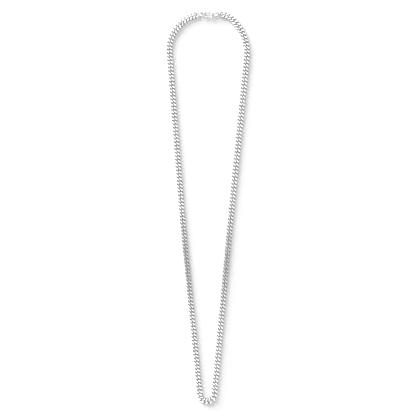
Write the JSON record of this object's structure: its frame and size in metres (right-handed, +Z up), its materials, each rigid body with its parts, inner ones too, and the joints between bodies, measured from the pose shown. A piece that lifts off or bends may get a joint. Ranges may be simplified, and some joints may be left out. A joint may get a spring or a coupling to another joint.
{
  "type": "curb chain necklace",
  "caption": "Curb chain necklace of twisted round-wire links, fastened by a lobster clasp and lying flat in a long narrow loop.",
  "frame": {"origin": "centre of the bounding box, on the ground that the chain lies on", "axes": "+Z up from the ground, +Y along the loop towards the clasp, +X to the right as seen from above"},
  "size_m": [0.0604, 0.2827, 0.0035],
  "materials": {
    "silver_links": "polished sterling silver, filed flat",
    "silver_rings": "polished sterling silver wire",
    "silver_clasp": "polished cast sterling silver"
  },
  "bodies": {
    "chain": {"chain_run_1": "silver_links", "chain_run_2": "silver_links", "chain_run_3": "silver_links", "chain_run_4": "silver_links", "chain_run_5": "silver_links", "chain_run_6": "silver_links", "chain_run_7": "silver_links", "chain_run_8": "silver_links", "chain_run_9": "silver_links", "chain_run_10": "silver_links", "chain_run_11": "silver_links", "end_ring_left": "silver_rings", "catch_ring": "silver_rings", "end_ring_right": "silver_rings", "clasp_body": "silver_clasp", "lever_pin": "silver_clasp"},
    "lever": {"clasp_lever": "silver_clasp"}
  },
  "joints": [
    {"name": "lever_hinge", "type": "hinge", "parent": "chain", "child": "lever", "pos_m": [0.0027, 0.1387, 0.00178], "axis": [0, 0, 1], "range_deg": [-25, 0], "stiffness_Nm_per_rad": 0.002}
  ]
}
